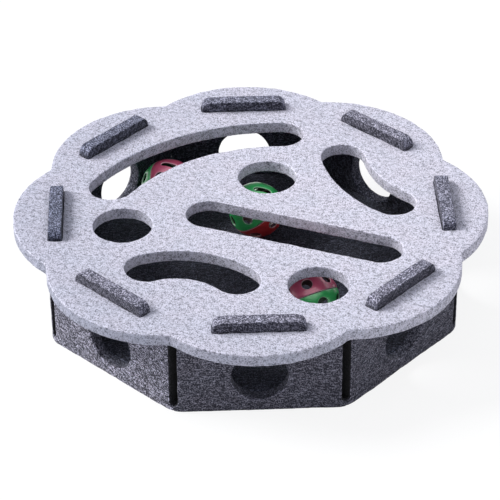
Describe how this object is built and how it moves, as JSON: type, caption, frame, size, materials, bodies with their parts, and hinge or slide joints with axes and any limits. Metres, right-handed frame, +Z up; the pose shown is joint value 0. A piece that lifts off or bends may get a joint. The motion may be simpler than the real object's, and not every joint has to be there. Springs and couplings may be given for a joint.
{
  "type": "felt cat maze box",
  "caption": "Low octagonal felt box with paw holes in its walls, a flower-shaped slotted lid held by tabs, and bell balls inside for a cat to bat about.",
  "frame": {"origin": "on the ground, under the middle of the tray", "axes": "+Z up; -Y is the front, the side with the short banana-shaped lid slot; +X to the right seen from the front"},
  "size_m": [0.36, 0.36, 0.0788],
  "materials": {
    "dark_felt": "thick needled felt, mixed dark grey fibres, matt",
    "light_felt": "thick needled felt, mixed light grey fibres, matt",
    "green_plastic": "moulded gloss",
    "pink_plastic": "moulded gloss",
    "bell_metal": "thin plated sheet steel",
    "pellet_steel": "bare steel"
  },
  "bodies": {
    "tray": {"base_floor": "dark_felt", "wall_right": "dark_felt", "wall_back_right": "dark_felt", "wall_back": "dark_felt", "wall_back_left": "dark_felt", "wall_left": "dark_felt", "wall_front_left": "dark_felt", "wall_front": "dark_felt", "wall_front_right": "dark_felt"},
    "lid": {"lid": "light_felt"},
    "ball_left_rattle": {"ball_left_bell": "bell_metal", "ball_left_pellet": "pellet_steel"},
    "ball_left_shell": {"ball_left_shell_green": "green_plastic", "ball_left_shell_pink": "pink_plastic"},
    "ball_middle_rattle": {"ball_middle_bell": "bell_metal", "ball_middle_pellet": "pellet_steel"},
    "ball_middle_shell": {"ball_middle_shell_green": "green_plastic", "ball_middle_shell_pink": "pink_plastic"},
    "ball_front_rattle": {"ball_front_bell": "bell_metal", "ball_front_pellet": "pellet_steel"},
    "ball_front_shell": {"ball_front_shell_green": "green_plastic", "ball_front_shell_pink": "pink_plastic"}
  },
  "joints": [
    {"name": "lid_lift", "type": "slide", "parent": "tray", "child": "lid", "axis": [0, 0, 1], "range_m": [0, 0.1]},
    {"name": "ball_left_travel", "type": "slide", "parent": "tray", "child": "ball_left_rattle", "axis": [0.7071, 0.7071, 0], "range_m": [-0.081, 0.036]},
    {"name": "ball_left_roll", "type": "hinge", "parent": "ball_left_rattle", "child": "ball_left_shell", "pos_m": [-0.06199, 0.09362, 0.0323], "axis": [-0.7071, 0.7071, 0], "range_deg": [-220, 100]},
    {"name": "ball_middle_travel", "type": "slide", "parent": "tray", "child": "ball_middle_rattle", "axis": [1, 0, 0], "range_m": [-0.042, 0.105]},
    {"name": "ball_middle_roll", "type": "hinge", "parent": "ball_middle_rattle", "child": "ball_middle_shell", "pos_m": [0.0067, 0.05686, 0.0323], "axis": [0, 1, 0], "range_deg": [-120, 285]},
    {"name": "ball_front_travel", "type": "slide", "parent": "tray", "child": "ball_front_rattle", "axis": [1, 0, 0], "range_m": [-0.149, 0.066]},
    {"name": "ball_front_roll", "type": "hinge", "parent": "ball_front_rattle", "child": "ball_front_shell", "pos_m": [0.04133, -0.06128, 0.0323], "axis": [0, 1, 0], "range_deg": [-400, 185]}
  ],
  "couplings": [
    {"joint": "ball_left_roll", "follows": "ball_left_travel", "rad_per_m": 45.455},
    {"joint": "ball_middle_roll", "follows": "ball_middle_travel", "rad_per_m": 45.455},
    {"joint": "ball_front_roll", "follows": "ball_front_travel", "rad_per_m": 45.455}
  ]
}
